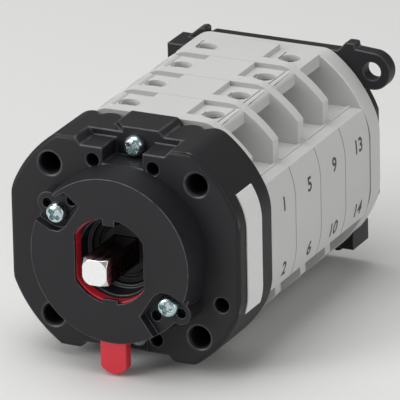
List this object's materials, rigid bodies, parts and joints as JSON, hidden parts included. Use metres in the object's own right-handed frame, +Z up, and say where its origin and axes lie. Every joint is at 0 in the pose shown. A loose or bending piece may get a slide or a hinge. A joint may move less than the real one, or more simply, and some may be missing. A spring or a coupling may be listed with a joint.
{
  "type": "changeover cam switch",
  "caption": "Changeover cam switch with a black latch housing, grey contact blocks, screw terminals and a square shaft.",
  "frame": {"origin": "on the shaft axis, in the rear mounting plane", "axes": "+Z up, the front faces -Y, the shaft lies along Y"},
  "size_m": [0.0612, 0.0944, 0.0536],
  "materials": {
    "black_plastic": "fine moulded texture, satin",
    "grey_plastic": "light grey, satin",
    "red_plastic": "smooth moulded",
    "zinc": "bright zinc plating",
    "steel": "bright nickel plating",
    "spring_steel": "drawn wire",
    "brass": "stamped",
    "copper": "stamped, with silver tips",
    "cam_plastic": "natural moulded plastic",
    "plunger_plastic": "moulded",
    "label_white": "blank white film"
  },
  "bodies": {
    "housing": {"latch_housing": "black_plastic", "front_collar": "black_plastic", "collar_screws": "zinc", "label_strip": "label_white", "latch_springs": "spring_steel", "release_springs": "spring_steel", "tie_bolts": "zinc", "end_plate": "grey_plastic", "mounting_base": "black_plastic", "contact_block_1": "grey_plastic", "contact_block_2": "grey_plastic", "contact_block_3": "grey_plastic", "contact_block_4": "grey_plastic", "terminals_1": "brass", "terminals_2": "brass", "terminals_3": "brass", "terminals_4": "brass", "terminal_screws_1": "zinc", "terminal_screws_2": "zinc", "terminal_screws_3": "zinc", "terminal_screws_4": "zinc", "clamp_washers_1": "zinc", "clamp_washers_2": "zinc", "clamp_washers_3": "zinc", "clamp_washers_4": "zinc", "contact_spring_right_1": "spring_steel", "contact_spring_right_2": "spring_steel", "contact_spring_right_3": "spring_steel", "contact_spring_right_4": "spring_steel", "contact_spring_left_1": "spring_steel", "contact_spring_left_2": "spring_steel", "contact_spring_left_3": "spring_steel", "contact_spring_left_4": "spring_steel"},
    "rotor": {"shaft": "steel", "latch_wheel": "black_plastic", "cam_1": "cam_plastic", "cam_2": "cam_plastic", "cam_3": "cam_plastic", "cam_4": "cam_plastic"},
    "release": {"release_slide": "red_plastic"},
    "contact_right_1": {"plunger_right_1": "plunger_plastic", "bridge_right_1": "copper"},
    "contact_right_2": {"plunger_right_2": "plunger_plastic", "bridge_right_2": "copper"},
    "contact_right_3": {"plunger_right_3": "plunger_plastic", "bridge_right_3": "copper"},
    "contact_right_4": {"plunger_right_4": "plunger_plastic", "bridge_right_4": "copper"},
    "contact_left_1": {"plunger_left_1": "plunger_plastic", "bridge_left_1": "copper"},
    "contact_left_2": {"plunger_left_2": "plunger_plastic", "bridge_left_2": "copper"},
    "contact_left_3": {"plunger_left_3": "plunger_plastic", "bridge_left_3": "copper"},
    "contact_left_4": {"plunger_left_4": "plunger_plastic", "bridge_left_4": "copper"}
  },
  "joints": [
    {"name": "shaft_turn", "type": "hinge", "parent": "housing", "child": "rotor", "pos_m": [0, -0.0794, 0], "axis": [0, 1, 0], "range_deg": [-60, 60], "deforming": ["latch_springs"]},
    {"name": "release_pull", "type": "slide", "parent": "housing", "child": "release", "axis": [0, 0, -1], "range_m": [0, 0.0018], "stiffness_N_per_m": 800, "springref_m": -0.001, "deforming": ["release_springs"]},
    {"name": "contact_slide_right_1", "type": "slide", "parent": "housing", "child": "contact_right_1", "axis": [1, 0, 0], "range_m": [-0.00151, 0.00151], "deforming": ["contact_spring_right_1"]},
    {"name": "contact_slide_right_2", "type": "slide", "parent": "housing", "child": "contact_right_2", "axis": [1, 0, 0], "range_m": [-0.00151, 0.00151], "deforming": ["contact_spring_right_2"]},
    {"name": "contact_slide_right_3", "type": "slide", "parent": "housing", "child": "contact_right_3", "axis": [1, 0, 0], "range_m": [-0.00151, 0.00151], "deforming": ["contact_spring_right_3"]},
    {"name": "contact_slide_right_4", "type": "slide", "parent": "housing", "child": "contact_right_4", "axis": [1, 0, 0], "range_m": [-0.00151, 0.00151], "deforming": ["contact_spring_right_4"]},
    {"name": "contact_slide_left_1", "type": "slide", "parent": "housing", "child": "contact_left_1", "axis": [1, 0, 0], "range_m": [-0.00151, 0.00151], "deforming": ["contact_spring_left_1"]},
    {"name": "contact_slide_left_2", "type": "slide", "parent": "housing", "child": "contact_left_2", "axis": [1, 0, 0], "range_m": [-0.00151, 0.00151], "deforming": ["contact_spring_left_2"]},
    {"name": "contact_slide_left_3", "type": "slide", "parent": "housing", "child": "contact_left_3", "axis": [1, 0, 0], "range_m": [-0.00151, 0.00151], "deforming": ["contact_spring_left_3"]},
    {"name": "contact_slide_left_4", "type": "slide", "parent": "housing", "child": "contact_left_4", "axis": [1, 0, 0], "range_m": [-0.00151, 0.00151], "deforming": ["contact_spring_left_4"]}
  ],
  "couplings": [
    {"joint": "contact_slide_right_1", "follows": "shaft_turn", "m_per_rad": -0.0014324},
    {"joint": "contact_slide_right_2", "follows": "shaft_turn", "m_per_rad": -0.0014324},
    {"joint": "contact_slide_right_3", "follows": "shaft_turn", "m_per_rad": -0.0014324},
    {"joint": "contact_slide_right_4", "follows": "shaft_turn", "m_per_rad": -0.0014324},
    {"joint": "contact_slide_left_1", "follows": "shaft_turn", "m_per_rad": -0.0014324},
    {"joint": "contact_slide_left_2", "follows": "shaft_turn", "m_per_rad": -0.0014324},
    {"joint": "contact_slide_left_3", "follows": "shaft_turn", "m_per_rad": -0.0014324},
    {"joint": "contact_slide_left_4", "follows": "shaft_turn", "m_per_rad": -0.0014324}
  ]
}
